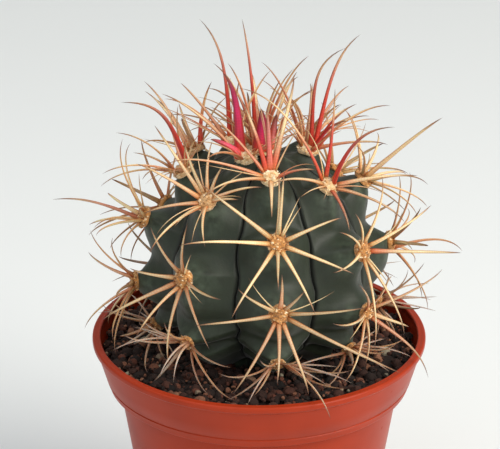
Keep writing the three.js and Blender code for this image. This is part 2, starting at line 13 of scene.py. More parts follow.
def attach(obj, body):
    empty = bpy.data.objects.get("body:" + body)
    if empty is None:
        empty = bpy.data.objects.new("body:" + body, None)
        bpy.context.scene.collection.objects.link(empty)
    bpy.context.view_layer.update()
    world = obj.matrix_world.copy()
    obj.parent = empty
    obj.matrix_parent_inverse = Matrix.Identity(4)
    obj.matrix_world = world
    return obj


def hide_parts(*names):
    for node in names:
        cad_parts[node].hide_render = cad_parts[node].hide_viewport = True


bl_info = {
    "name": "Potted barrel cactus",
    "version": (1, 0, 0),
    "blender": (4, 5, 0),
    "location": "3D View > Sidebar > Cactus",
    "description": "Builds the visible surfaces of a potted barrel cactus",
    "category": "Add Mesh",
}

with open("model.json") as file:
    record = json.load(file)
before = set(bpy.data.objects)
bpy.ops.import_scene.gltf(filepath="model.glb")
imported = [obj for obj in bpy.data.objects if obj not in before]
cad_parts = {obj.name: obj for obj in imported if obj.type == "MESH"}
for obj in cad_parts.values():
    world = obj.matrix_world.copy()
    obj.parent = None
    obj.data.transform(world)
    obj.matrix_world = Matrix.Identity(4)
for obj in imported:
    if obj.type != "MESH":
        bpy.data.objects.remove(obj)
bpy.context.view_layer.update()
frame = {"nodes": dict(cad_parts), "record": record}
MM = 0.001

# The stem's form, in millimetres and degrees, as in the solids
STEM_X = 1.3
STEM_RADIUS = 42
STEM_WIDEST_Z = 112
STEM_CROWN_HEIGHT = 42
STEM_FOOT_HEIGHT = 31
STEM_POWER = 2 / 2.3
SOIL_TOP = 83.2
SOIL_DEPTH = (STEM_WIDEST_Z - SOIL_TOP) / STEM_FOOT_HEIGHT
SOIL_LATITUDE = -math.degrees(math.asin(SOIL_DEPTH ** (1 / STEM_POWER)))
FURROW_DEPTH = 11
FURROW_SWING = 1.2
FLANK_ROUNDNESS = 1.4
NOTCH_DEPTH = 5.2
NOTCH_DEEPER_ABOVE = 5
NOTCH_END = 0.92
NOTCH_SKEW = 2
AREOLE_SPACING = 34
RIBS = (
    ("a", 7, (67, 32, 2, -32)),
    ("d", 52, (55, 20, -6, -36)),
    ("e", 97, (73, 41.5, 6.5, -27)),
    ("f", 142, (60, 26, -3, -28)),
    ("g", 187, (77, 45, 11, -19)),
    ("h", 232, (75, 51, 12, -19)),
    ("c", 277, (55, 24.5, -4, -35)),
    ("b", 322, (80, 49, 11.5, -21)),
)
RIB_TURN = 360 / len(RIBS)

# The pot's form in millimetres: heights of collar and lip, radii of the wall's top and the collar's two ends
COLLAR_HEIGHT = 16.7
LIP_HEIGHT = 2.2
WALL_TOP_RADIUS = 46.5
COLLAR_FOOT_RADIUS = 49.8
COLLAR_TOP_RADIUS = 54.1
DRAIN_CIRCLE = 22

# Grains lie from the stem's foot out to the pot's inner wall, in millimetres from its middle
GRIT_NEAREST = 16
GRIT_FARTHEST = 52.1
POT_INSIDE = 52.2

# Radii in millimetres of a full-grown spine and of a hair, the share of its radius that a spine's solid still
# has just before its tip, and where along a spine the four points of its line stand
USUAL_RADIUS = 0.75
HAIR_RADIUS = 0.07
LAST_RING_TAPER = 0.55
STANDS = (0.0, 0.42, 0.78, 1.0)

# Spines with looks of their own: clock hour (12 up the rib), rise off the skin and length as in the solids,
# then the shares of red and magenta, how far along the red reaches, how bright it is and how much fatter.
# Some have their own hook too: how far the tip bends out from the plant and up, as shares of the length
OWN_LOOKS = {
    "a1": (
        (11.1, 49, 24, 0.95, 0, 0.5, 1, 1),
        (12, 43, 20, 0.6, 0.5, 1, 1, 1.15),
        (0.7, 38, 31, 0.8, 0, 0.2, 1, 1),
        (3.4, 18, 13, 0.7, 0, 0.6, 1, 1),
    ),
    "b1": ((9.1, 82, 28, 0.2, 1, 1, 1.1, 1.15), (7.6, 38, 11, 0, 0.9, 1, 1.7, 1.9)),
    "c1": ((6.2, 88, 30, 1, 0.1, 1.1, 0.85, 1.3, 0.2, -0.04),),
    "c2": ((6.6, 84, 29, 0.5, 0.15, 0.6, 0.9, 1),),
    "d1": (
        (4, 77, 30, 1, 0.1, 0.85, 0.9, 1.25, 0.2, -0.04),
        (0.7, 50, 29, 1, 0, 0.65, 0.95, 1.1),
        (11.1, 21, 42, 0.9, 0, 0.3, 1, 1),
        (6.8, -4, 17, 0.7, 0, 0.9, 0.8, 1),
        (4.2, 24, 27, 0.6, 0, 0.1, 1, 1.1),
        (5.2, 6, 25, 0.25, 0, 0.9, 0.9, 1.1),
    ),
    "d2": ((3.7, 22, 34, 0.9, 0, 0.08, 1, 1),),
    "d3": ((4.9, 30, 31, 0.5, 0, 0.8, 0.9, 1, 0, -0.2),),
    "e1": (
        (7.2, 88, 36, 1, 0, 0.7, 1, 0.85, 0.22, 0),
        (6.1, 84, 41, 1, 0, 0.7, 1, 0.9, 0.05, 0),
        (6.1, 62, 20, 1, 0, 0.6, 1, 1),
        (6, 43, 28, 0.9, 0, 0.25, 1, 1),
        (8, 51, 20, 1, 0.3, 0.8, 0.85, 1),
        (6, 14, 24, 0.5, 0, 0.5, 0.85, 1),
    ),
    "e2": ((9.6, 66, 36.5, 0.1, 0, 0.3, 1.15, 1.1, 0.03, 0),),
    "e3": ((6.5, 79, 23, 0.3, 0, 1, 1, 1, 0, -0.16),),
    "g1": ((5.2, 80, 37, 1, 0, 0.8, 1, 0.85),),
    "h1": ((6.2, 86, 40, 1, 0, 0.75, 1, 0.9, 0.16, 0), (11, 78, 19, 0.75, 0, 0.5, 1.05, 1)),
    "h2": ((11, 48, 21, 0.95, 0, 0.4, 1.1, 1.1),),
    "crown": (
        (6.3, 86, 14, 0.4, 1, 1, 1.1, 1.6),
        (4.3, 80, 12, 0, 0.75, 1, 1.3, 1.5),
        (9.2, 74, 28, 0.6, 0, 0.7, 0.9, 1),
        (3.9, 56, 27, 0.6, 0, 0.5, 1, 1),
    ),
}


def linear(hex_colour):
    """The linear colour of an sRGB hex value."""
    shares = [int(hex_colour[i : i + 2], 16) / 255 for i in (1, 3, 5)]
    return tuple(c / 12.92 if c <= 0.04045 else ((c + 0.055) / 1.055) ** 2.4 for c in shares)


def colour_property(name, description, hex_colour):
    held = {"default": linear(hex_colour), "subtype": "COLOR", "size": 3, "min": 0, "max": 1}
    return bpy.props.FloatVectorProperty(name=name, description=description, **held)


def length_property(name, description, millimetres):
    held = {"default": millimetres * MM, "subtype": "DISTANCE", "unit": "LENGTH", "min": 0}
    return bpy.props.FloatProperty(name=name, description=description, **held)


def count_property(name, description, count):
    return bpy.props.IntProperty(name=name, description=description, default=count, min=0)


class PotSettings(bpy.types.PropertyGroup):
    """Sizes and colour of the nursery pot."""

    height: length_property("Height", "Height of the pot over its base", 88)
    rim_radius: length_property("Rim radius", "Outer radius of the lip", 55)
    base_radius: length_property("Base radius", "Outer radius of the base", 34.7)
    wall: length_property("Wall", "Thickness of the wall", 1.3)
    colour: colour_property("Plastic", "Terracotta colour of the plastic", "#9e3216")


class SoilSettings(bpy.types.PropertyGroup):
    """Grit on the soil."""

    stone: length_property("Stone", "Half the width of a large grain", 1.6)
    stones: count_property("Stones", "Large grains on the top", 1150)
    crumbs: count_property("Crumbs", "Small grains on the top", 2400)
    colour: colour_property("Grit", "Main colour of the grit", "#3b2117")


class StemSettings(bpy.types.PropertyGroup):
    """Skin of the stem."""

    keel: length_property("Keel", "How far a rib's crest stands up between its knobs", 0.7)
    crease: length_property("Crease", "Depth of the narrow fold at the bottom of a furrow", 1.3)
    colour: colour_property("Skin", "Green of the skin in the light", "#20291a")
    # The furrow colour is painted shade: the skin is darkened to it at the bottom of each furrow
    furrow_shade_colour: colour_property("Furrow", "Green of the skin down in the furrows", "#171b15")


class SpineSettings(bpy.types.PropertyGroup):
    """Spines and the felt that they grow from."""

    half_width: length_property("Half width", "Half the width of a full-grown spine near its base", 0.76)
    extra_young: count_property("Extra young", "Thin spines of a young star", 6)
    extra_old: count_property("Extra old", "Thin spines of an old star", 5)
    hairs: count_property("Hairs", "Wool hairs on each pad", 170)
    tufts: count_property("Tufts", "Matted tufts on each pad", 110)
    straw: colour_property("Straw", "Colour of a full-grown spine", "#f0d6a6")
    red: colour_property("Red", "Colour of a young spine", "#cf3f2b")
    magenta: colour_property("Magenta", "Colour of the newest spines", "#cc1c5c")
    felt: colour_property("Felt", "Colour of an old felt pad", "#c98a48")


class PlantSettings(bpy.types.PropertyGroup):
    """All of the plant's settings."""

    pot: bpy.props.PointerProperty(type=PotSettings, name="Pot", description="The nursery pot")
    soil: bpy.props.PointerProperty(type=SoilSettings, name="Soil", description="The soil and its grit")
    stem: bpy.props.PointerProperty(type=StemSettings, name="Stem", description="The ribbed stem")
    spines: bpy.props.PointerProperty(type=SpineSettings, name="Spines", description="Spines and felt")


# Mesh tools


def deselect():
    if bpy.context.object and bpy.context.object.mode != "OBJECT":
        bpy.ops.object.mode_set(mode="OBJECT")
    bpy.ops.object.select_all(action="DESELECT")


def named(name):
    """The object just added, under its own name."""
    made = bpy.context.object
    made.name = name
    made.data.name = name
    return made


def edit_all():
    """Opens the active piece in edit mode with all of it selected."""
    bpy.ops.object.mode_set(mode="EDIT")
    bpy.ops.mesh.select_all(action="SELECT")


def close_edit():
    """Turns every face of the edited piece outwards and leaves edit mode."""
    bpy.ops.mesh.select_all(action="SELECT")
    bpy.ops.mesh.normals_make_consistent(inside=False)
    bpy.ops.object.mode_set(mode="OBJECT")


def turned(name, profile, sides):
    """A closed body turned round the upright axis from its (radius, height) profile, from floor to floor."""
    deselect()
    first_radius, first_height = profile[0]
    bpy.ops.mesh.primitive_circle_add(vertices=sides, radius=first_radius, fill_type="TRIFAN")
    made = named(name)
    made.location.z = first_height
    bpy.ops.object.transform_apply()
    edit_all()
    for (radius, height), (next_radius, next_height) in zip(profile, profile[1:]):
        bpy.ops.mesh.extrude_region_move(TRANSFORM_OT_translate={"value": (0, 0, next_height - height)})
        scale = next_radius / radius
        bpy.ops.transform.resize(value=(scale, scale, 1), center_override=(0, 0, next_height))
    bpy.ops.mesh.select_all(action="SELECT")
    bpy.ops.mesh.remove_doubles(threshold=1e-6)
    close_edit()
    return made


def points_of(made):
    points = np.empty(len(made.data.vertices) * 3)
    made.data.vertices.foreach_get("co", points)
    return points.reshape(-1, 3)


def shape_of(made):
    """The points and faces of a model that is then copied, which is itself removed."""
    shape = points_of(made), [tuple(face.vertices) for face in made.data.polygons]
    bpy.data.objects.remove(made, do_unlink=True)
    return shape


def gathered(name, parts, materials):
    """One mesh of many parts, each (points in metres, faces, attributes by name, the material's place)."""
    points, faces, places = [], [], []
    values = {}
    count = 0
    for part_points, part_faces, attributes, place in parts:
        points.append(part_points)
        faces.extend(tuple(i + count for i in face) for face in part_faces)
        places.extend([place] * len(part_faces))
        for key, value in attributes.items():
            values.setdefault(key, []).append(np.broadcast_to(value, (len(part_points), 3)))
        count += len(part_points)
    mesh = bpy.data.meshes.new(name)
    mesh.from_pydata(np.concatenate(points).tolist(), [], faces)
    mesh.polygons.foreach_set("material_index", places)
    mesh.polygons.foreach_set("use_smooth", [True] * len(faces))
    for key, value in values.items():
        held = mesh.attributes.new(key, "FLOAT_VECTOR", "POINT")
        held.data.foreach_set("vector", np.concatenate(value).astype(np.float32).ravel())
    for material in materials:
        mesh.materials.append(material)
    mesh.update()
    made = bpy.data.objects.new(name, mesh)
    bpy.context.scene.collection.objects.link(made)
    return made


def finish(made, node, sharp=None):
    """Shades a piece and puts it in the place of its solid."""
    deselect()
    made.select_set(True)
    bpy.context.view_layer.objects.active = made
    if sharp is None:
        bpy.ops.object.shade_smooth()
    else:
        bpy.ops.object.shade_smooth_by_angle(angle=math.radians(sharp))
    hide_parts(node)
    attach(made, "root")


# Material tools


def add(tree, kind, settings=None, links=None):
    """Adds a node with its settings and links. Keys name inputs or else properties; a ramp takes stops."""
    made = tree.nodes.new("ShaderNode" + kind)
    for key, value in (settings or {}).items():
        if key == "stops":
            elements = made.color_ramp.elements
            while len(elements) < len(value):
                elements.new(1)
            for element, (place, colour) in zip(elements, value):
                element.position = place
                element.color = (*(linear(colour) if isinstance(colour, str) else colour), 1)
        elif isinstance(key, int) or key in made.inputs:
            made.inputs[key].default_value = value
        else:
            setattr(made, key, value)
    for key, source in (links or {}).items():
        tree.links.new(source, made.inputs[key])
    return made


def new_material(name, **settings):
    """A material with its shader, whose settings are its sockets' values."""
    material = bpy.data.materials.new(name)
    material.use_nodes = True
    tree = material.node_tree
    shader = tree.nodes["Principled BSDF"]
    for key, value in settings.items():
        shader.inputs[key.replace("_", " ")].default_value = value
    return material, tree, shader


def wire(tree, shader, **sources):
    """Links outputs to the shader's inputs of these names."""
    for key, source in sources.items():
        tree.links.new(source, shader.inputs[key.replace("_", " ")])


def grey(value):
    return (value, value, value)


def tinted(colour, factor):
    return tuple(min(1, c * factor) for c in colour)


# Materials


def pot_plastic(colour):
    """Injection-moulded polypropylene: even terracotta, satin gloss, fine flow marks and a few scuffs."""
    material, tree, shader = new_material("moulded_polypropylene", IOR=1.49, Specular_IOR_Level=0.17)
    place = add(tree, "TexCoord").outputs["Object"]
    # Flow marks run round the wall, 3 mm apart and 30 mm long
    stretched = add(tree, "Mapping", {"Scale": (30, 30, 330)}, {"Vector": place})
    flow = add(tree, "TexNoise", {"Scale": 1, "Detail": 3}, {"Vector": stretched.outputs[0]})
    cloud = add(tree, "TexNoise", {"Scale": 60, "Detail": 2}, {"Vector": place})
    stops = [(0.3, tinted(colour, 0.88)), (0.55, colour), (0.8, tinted(colour, 1.08))]
    shade = add(tree, "ValToRGB", {"stops": stops}, {0: cloud.outputs[0]})
    # Scuffs: sparse 1 mm spots that are duller
    spots = add(tree, "TexVoronoi", {"Scale": 140, "Randomness": 1}, {"Vector": place})
    gloss = [(0.02, grey(0.62)), (0.1, grey(0.36))]
    dull = add(tree, "ValToRGB", {"stops": gloss}, {0: spots.outputs["Distance"]})
    bump = add(tree, "Bump", {"Strength": 0.12, "Distance": 0.0003}, {"Height": flow.outputs[0]})
    wire(tree, shader, Base_Color=shade.outputs[0], Roughness=dull.outputs[0], Normal=bump.outputs[0])
    return material


def grit(colour):
    """Crushed lava and bark crumbs: near-black to red-brown grains, matt and pitted, with painted shade in
    the pits.
    """
    material, tree, shader = new_material("lava_grit", Roughness=0.92, IOR=1.5)
    place = add(tree, "TexCoord").outputs["Object"]
    tone = add(tree, "Attribute", {"attribute_name": "tone"})
    parted = add(tree, "SeparateXYZ", None, {0: tone.outputs["Vector"]})
    stops = [
        (0.0, "#120c08"),
        (0.4, tinted(colour, 0.5)),
        (0.68, colour),
        (0.86, "#633626"),
        (0.975, "#8a5f46"),
        (0.99, "#8a8470"),
    ]
    hue = add(tree, "ValToRGB", {"stops": stops}, {0: parted.outputs["X"]})
    pits = add(tree, "TexNoise", {"Scale": 1400, "Detail": 4}, {"Vector": place})
    # The grains are darker in the low places of the same noise that pits them: painted shade
    shade = add(tree, "MapRange", {"To Min": 0.55, "To Max": 1.45}, {"Value": pits.outputs[0]})
    mixed = add(tree, "VectorMath", {"operation": "MULTIPLY"}, {0: hue.outputs[0], 1: shade.outputs[0]})
    bump = add(tree, "Bump", {"Strength": 0.6, "Distance": 0.0004}, {"Height": pits.outputs[0]})
    wire(tree, shader, Base_Color=mixed.outputs[0], Normal=bump.outputs[0])
    return material


def waxy_skin(colour, furrow_shade_colour):
    """Living cactus skin under a thin wax bloom: dull dark green, faintly mottled, with painted shade down in
    the furrows and paler knobs, where the wax bloom is partly a painted highlight.
    """
    sheen = {"Sheen_Weight": 0.16, "Sheen_Roughness": 0.4}
    material, tree, shader = new_material("waxy_cactus_skin", IOR=1.44, **sheen)
    place = add(tree, "TexCoord").outputs["Object"]
    form = add(tree, "Attribute", {"attribute_name": "form"})
    parted = add(tree, "SeparateXYZ", None, {0: form.outputs["Vector"]})
    # Mottling: cloudy patches 6 mm across with 1.5 mm speckle in them
    cloud = add(tree, "TexNoise", {"Scale": 160, "Detail": 4, "Roughness": 0.6}, {"Vector": place})
    # From 0.9 of the way to the furrow the green darkens to the furrow colour, and to near black in the fold:
    # painted shade in the furrows
    stops = [
        (0.0, colour),
        (0.9, tinted(colour, 0.95)),
        (0.978, furrow_shade_colour),
        (1, tinted(furrow_shade_colour, 0.35)),
    ]
    depth = add(tree, "ValToRGB", {"stops": stops}, {0: parted.outputs["X"]})
    spread = {"From Min": 0.3, "From Max": 0.7, "To Min": 0.8, "To Max": 1.2}
    mottle = add(tree, "MapRange", spread, {"Value": cloud.outputs[0]})
    greens = add(tree, "VectorMath", {"operation": "MULTIPLY"}, {0: depth.outputs[0], 1: mottle.outputs[0]})
    # The bloom lies on the knobs, and rubs off in 3 mm patches; its pale green there is partly the real wax
    # and partly a painted highlight on the knob crests
    patches = add(tree, "TexNoise", {"Scale": 330, "Detail": 2}, {"Vector": place})
    worn = add(tree, "MapRange", {"From Min": 0.35, "From Max": 0.7}, {"Value": patches.outputs[0]})
    bloom_and_highlight = add(tree, "Math", {"operation": "MULTIPLY"}, {0: worn.outputs[0], 1: parted.outputs["Y"]})
    skin = add(tree, "Mix", {"data_type": "RGBA"}, {0: bloom_and_highlight.outputs[0], 6: greens.outputs[0]})
    skin.inputs[7].default_value = (*linear("#4d5b48"), 1)
    rough = add(tree, "MapRange", {"To Min": 0.42, "To Max": 0.62}, {"Value": cloud.outputs[0]})
    # Skin cells can't be seen; the bump is the 0.7 mm pebbling of the wax
    pebbles = add(tree, "TexNoise", {"Scale": 1400, "Detail": 3}, {"Vector": place})
    bump = add(tree, "Bump", {"Strength": 0.18, "Distance": 0.0003}, {"Height": pebbles.outputs[0]})
    wire(tree, shader, Base_Color=skin.outputs[2], Roughness=rough.outputs[0], Normal=bump.outputs[0])
    return material


def spine_horn(straw, red, magenta):
    """Dry horn-like spine: straw with browner edges that are partly painted shade, dark tip, red while young,
    ringed with painted shade in the ring grooves, and streaked.
    """
    material, tree, shader = new_material("spine_horn", Roughness=0.45, IOR=1.5)
    looks = add(tree, "Attribute", {"attribute_name": "looks"})
    parted = add(tree, "SeparateXYZ", None, {0: looks.outputs["Vector"]})
    age = add(tree, "Attribute", {"attribute_name": "age"})
    ages = add(tree, "SeparateXYZ", None, {0: age.outputs["Vector"]})
    along = parted.outputs["X"]
    ramps = {
        "straw": [
            (0, "#bd8048"), (0.06, "#d4aa70"), (0.2, tinted(straw, 0.92)), (0.5, straw),
            (0.72, tinted(straw, 0.78)), (0.85, "#a07a58"), (0.94, "#64493b"), (1, "#2f2523"),
        ],
        "red": [
            (0, "#d9682e"), (0.1, tinted(red, 1.1)), (0.36, red), (0.6, "#bb6a55"),
            (0.78, "#c08a66"), (0.9, "#a98461"), (0.97, "#5c463c"), (1, "#3a2d29"),
        ],
        "newest": [
            (0, "#d4502e"), (0.2, "#c92f44"), (0.45, magenta), (0.72, tinted(magenta, 0.6)),
            (0.9, "#7d4436"), (1, "#43322c"),
        ],
        "old": [
            (0, "#85492f"), (0.2, "#b08a72"), (0.5, "#bfb3aa"), (0.85, "#a39a96"), (1, "#3f393a"),
        ],
    }
    colours = {}
    for key, stops in ramps.items():
        colours[key] = add(tree, "ValToRGB", {"stops": stops}, {0: along}).outputs[0]
    mixed = colours["straw"]
    for key, axis in (("red", "X"), ("newest", "Y"), ("old", "Z")):
        step = add(tree, "Mix", {"data_type": "RGBA"}, {0: ages.outputs[axis], 6: mixed, 7: colours[key]})
        mixed = step.outputs[2]
    # The two edges of the flattened spine are browner than its middle, partly in the horn's own colour and
    # partly as painted shade where its sides turn away from the light
    spread = {"From Min": 0.5, "From Max": 0.97, "To Max": 0.9}
    edge = add(tree, "MapRange", spread, {"Value": parted.outputs["Z"]})
    multiply = {"data_type": "RGBA", "blend_type": "MULTIPLY"}
    rimmed_and_shaded = add(tree, "Mix", multiply, {0: edge.outputs[0], 6: mixed})
    rimmed_and_shaded.inputs[7].default_value = (0.66, 0.34, 0.16, 1)
    grain = add(tree, "Attribute", {"attribute_name": "grain"})
    # Streaks run lengthwise: 0.3 mm across, 12 mm long
    streaks_at = add(tree, "Mapping", {"Scale": (2.2, 2.2, 0.08)}, {"Vector": grain.outputs["Vector"]})
    streaks = add(tree, "TexNoise", {"Scale": 1.6, "Detail": 3}, {"Vector": streaks_at.outputs[0]})
    # Growth rings lie 0.9 mm apart, a little wider than the real ones so that they show
    bands = {"bands_direction": "Z", "Scale": 0.36, "Distortion": 1.2, "Detail": 1}
    rings = add(tree, "TexWave", bands, {"Vector": grain.outputs["Vector"]})
    spread = {"From Min": 0.3, "From Max": 0.7, "To Min": 0.72, "To Max": 1.16}
    streak_shade = add(tree, "MapRange", spread, {"Value": streaks.outputs[0]})
    # The rings also darken the colour in their grooves, from the same wave as their bump: painted shade
    ring_shade = add(tree, "MapRange", {"To Min": 0.93, "To Max": 1.03}, {"Value": rings.outputs[1]})
    multiply = {"operation": "MULTIPLY"}
    tone = add(tree, "Math", multiply, {0: streak_shade.outputs[0], 1: parted.outputs["Y"]})
    both = add(tree, "Math", multiply, {0: tone.outputs[0], 1: ring_shade.outputs[0]})
    shaded = add(tree, "VectorMath", multiply, {0: rimmed_and_shaded.outputs[2], 1: both.outputs[0]})
    bump = add(tree, "Bump", {"Strength": 0.15, "Distance": 0.0001}, {"Height": rings.outputs[1]})
    # Light passes through the thin horn, so its underside isn't black
    shader.inputs["Subsurface Weight"].default_value = 0.4
    shader.inputs["Subsurface Radius"].default_value = (1, 0.6, 0.35)
    shader.inputs["Subsurface Scale"].default_value = 0.0012
    wire(tree, shader, Base_Color=shaded.outputs[0], Normal=bump.outputs[0])
    return material


def felt_wool(felt):
    """Areole wool: short matted hairs, cream-white when new, tan to orange-brown when old, with a sheen."""
    material, tree, shader = new_material("areole_wool", Roughness=0.95, IOR=1.5, Sheen_Weight=0.3)
    place = add(tree, "TexCoord").outputs["Object"]
    looks = add(tree, "Attribute", {"attribute_name": "looks"})
    parted = add(tree, "SeparateXYZ", None, {0: looks.outputs["Vector"]})
    stops = [(0, tinted(felt, 0.5)), (0.4, felt), (0.75, "#e8b878"), (1, "#fae8c4")]
    old = add(tree, "ValToRGB", {"stops": stops}, {0: parted.outputs["X"]})
    stops = [(0, "#d8a468"), (0.4, "#ecd5a6"), (1, "#f7ecd2")]
    new = add(tree, "ValToRGB", {"stops": stops}, {0: parted.outputs["X"]})
    ages = {0: parted.outputs["Z"], 6: old.outputs[0], 7: new.outputs[0]}
    wool = add(tree, "Mix", {"data_type": "RGBA"}, ages)
    clumps = add(tree, "TexNoise", {"Scale": 1100, "Detail": 3}, {"Vector": place})
    # The felt is darker in the low places between its clumps, from the same noise as its bump: painted shade
    spread = {"From Min": 0.3, "From Max": 0.7, "To Min": 0.7, "To Max": 1.2}
    shade = add(tree, "MapRange", spread, {"Value": clumps.outputs[0]})
    mixed = add(tree, "VectorMath", {"operation": "MULTIPLY"}, {0: wool.outputs[2], 1: shade.outputs[0]})
    bump = add(tree, "Bump", {"Strength": 0.8, "Distance": 0.0004}, {"Height": clumps.outputs[0]})
    wire(tree, shader, Base_Color=mixed.outputs[0], Normal=bump.outputs[0])
    return material


# The stem's form


def oval_at(latitude):
    """Radius, height and outward direction (across, up) of the oval at a latitude."""
    half = STEM_FOOT_HEIGHT if latitude < 0 else STEM_CROWN_HEIGHT
    side = max(0.0, math.cos(math.radians(latitude)))
    up = abs(math.sin(math.radians(latitude)))
    across, upward = side ** (2 - STEM_POWER) / STEM_RADIUS, up ** (2 - STEM_POWER) / half
    size = math.hypot(across, upward)
    sign = -1 if latitude < 0 else 1
    return (
        STEM_RADIUS * side**STEM_POWER,
        STEM_WIDEST_Z + sign * half * up**STEM_POWER,
        across / size,
        sign * upward / size,
    )


def notch_at(rib, latitude):
    """0 on the knob of an areole, 1 in the crease over the shoulder of the next knob below."""
    latitudes = RIBS[rib][2]
    stops = (latitudes[0] + AREOLE_SPACING, *latitudes, latitudes[-1] - AREOLE_SPACING / 2)
    for above, below in zip(stops, stops[1:]):
        if below <= latitude < above:
            along = (above - latitude) / (above - below)
            return math.sin(math.pi * min(1, along / NOTCH_END) ** NOTCH_SKEW)
    return 0.0


def skin_offset(rib, latitude, share, keel=0.0, crease=0.0):
    """How far the skin lies out from the oval, from a rib's crest (share 0) to its furrow (share 1).

    The form calms down where the stem narrows to less than 24 mm. Near the furrow the flanks swell towards
    each other, and over the last 0.08 of the share they meet in a narrow fold.
    """
    radius = oval_at(latitude)[0]
    notch = notch_at(rib, latitude)
    calm = min(1, radius / 24)
    notch_depth = (NOTCH_DEPTH + NOTCH_DEEPER_ABOVE * max(0, math.sin(math.radians(latitude)))) * calm
    furrow = FURROW_DEPTH * min(1, radius / STEM_RADIUS + 0.08) * share**FLANK_ROUNDNESS
    ridge = keel * notch * calm * max(0, 1 - share / 0.3) ** 1.5
    cheek = 2 * crease * calm * share**5 * math.sqrt(max(0, 1 - max(0, share / 0.08 - 11.5) ** 2))
    return ridge + cheek - furrow - notch_depth * notch * (1 - share)


def outwards(azimuth):
    return Vector((math.sin(math.radians(azimuth)), -math.cos(math.radians(azimuth)), 0))


def stem_point(latitude, azimuth, offset):
    radius, height, across, upward = oval_at(latitude)
    point = outwards(azimuth) * (radius + across * offset)
    return point + Vector((STEM_X, 0, height + upward * offset))


def skin_point(place, latitude, keel=0.0, crease=0.0):
    """A point of the skin, its share from crest to furrow and its notch. Place is in ribs round the stem."""
    rib = int(place) % len(RIBS)
    after = (rib + 1) % len(RIBS)
    part = place - int(place)
    near, share = (rib, 2 * part) if part <= 0.5 else (after, 2 * (1 - part))
    share = 1 - (1 - share) ** 1.4
    swing = FURROW_SWING * (notch_at(after, latitude) - notch_at(rib, latitude))
    furrow = RIBS[rib][1] + RIB_TURN / 2 + swing
    crest = RIBS[rib][1] if part <= 0.5 else RIBS[rib][1] + RIB_TURN
    azimuth = crest + (furrow - crest) * share
    offset = skin_offset(near, latitude, share, keel, crease)
    return stem_point(latitude, azimuth, offset), share, notch_at(near, latitude)


def areole_frame(rib, latitude):
    """Place, and the ways out of the skin, up the rib and to the right, of an areole."""
    place = stem_point(latitude, RIBS[rib][1], skin_offset(rib, latitude, 0))
    across, upward = oval_at(latitude)[2:]
    out = outwards(RIBS[rib][1]) * across + Vector((0, 0, upward))
    up = (Vector((0, 0, 1)) - out * out.z).normalized()
    return place, out, up, up.cross(out)


AREOLES = [
    (f"{name}{i + 1}", latitude, areole_frame(rib, latitude))
    for rib, (name, _, latitudes) in enumerate(RIBS)
    for i, latitude in enumerate(latitudes)
]
CROWN = ("crown", 90, (stem_point(90, 0, 0), Vector((0, 0, 1)), Vector((0, 1, 0)), Vector((1, 0, 0))))


# Pot and soil


def arc(radius, z, first, last, size, steps=5):
    """A rounded edge about a middle, between two angles in degrees."""
    turns = (math.radians(first + (last - first) * i / steps) for i in range(steps + 1))
    return [(radius + size * math.cos(turn), z + size * math.sin(turn)) for turn in turns]


def pot_profile(height, rim, base, wall):
    """The pot's (radius, height) outline in millimetres: up the outside, over the lip, down the inside."""
    foot = height - COLLAR_HEIGHT
    lip = height - LIP_HEIGHT

    def wall_radius(z):
        return base + (WALL_TOP_RADIUS - base) * z / foot

    def collar(z):
        return COLLAR_FOOT_RADIUS + (COLLAR_TOP_RADIUS - COLLAR_FOOT_RADIUS) * (z - foot) / (lip - foot)

    step = foot + wall
    return [
        (base - 1.5, 0),
        *arc(base - 0.9, 1, -90, 0, 1, 4),
        (wall_radius(12), 12),
        (wall_radius(35), 35),
        (wall_radius(60), 60),
        (WALL_TOP_RADIUS, foot),
        (48.9, foot),
        *arc(49.2, foot + 0.6, -90, 0, 0.6, 4),
        (collar(foot + 2.6), foot + 2.6),
        (collar(foot + 2.8) - 0.22, foot + 2.85),
        (collar(foot + 3.3) - 0.22, foot + 3.2),
        (collar(foot + 3.5), foot + 3.5),
        (collar(foot + 8), foot + 8),
        (collar(lip - 1.2), lip - 1.2),
        (collar(lip - 0.4), lip - 0.5),
        *arc(rim - 0.7, lip + 0.65, -55, 0, 0.7, 3),
        *arc(rim - 0.75, height - 0.75, 0, 90, 0.75, 5),
        (rim - 1.3, height - 0.1),
        (rim - 2.0, height - 0.04),
        *arc(rim - 2.15, height - 0.55, 90, 180, 0.55, 5),
        (collar(lip) - wall, lip - 0.4),
        (collar(foot + 8) - wall, foot + 8),
        *arc(collar(step) - wall - 0.5, step + 0.5, 0, -90, 0.5, 3),
        (wall_radius(step) - wall, step),
        (wall_radius(40) - wall, 40),
        (wall_radius(1.8) - wall, 1.8),
    ]


def drain(pot, turn):
    """Cuts one drain hole through the pot's floor."""
    deselect()
    place = (DRAIN_CIRCLE * MM * math.cos(turn), DRAIN_CIRCLE * MM * math.sin(turn), 0)
    bpy.ops.mesh.primitive_cylinder_add(vertices=32, radius=3 * MM, depth=8 * MM, location=place)
    cutter = bpy.context.object
    hole = pot.modifiers.new("drain", "BOOLEAN")
    hole.operation = "DIFFERENCE"
    hole.object = cutter
    hole.solver = "EXACT"
    deselect()
    pot.select_set(True)
    bpy.context.view_layer.objects.active = pot
    bpy.ops.object.modifier_apply(modifier=hole.name)
    bpy.data.objects.remove(cutter, do_unlink=True)


def broken_stone(draw):
    """A grain of grit: a ball with four flat broken faces."""
    deselect()
    bpy.ops.mesh.primitive_ico_sphere_add(subdivisions=2, radius=1)
    stone = bpy.context.object
    for _ in range(4):
        way = Vector([draw.gauss(0, 1) for _ in range(3)]).normalized()
        edge = way * draw.uniform(0.6, 0.85)
        edit_all()
        bpy.ops.mesh.bisect(plane_co=edge, plane_no=way, use_fill=True, clear_outer=True)
    bpy.ops.object.mode_set(mode="OBJECT")
    return shape_of(stone)


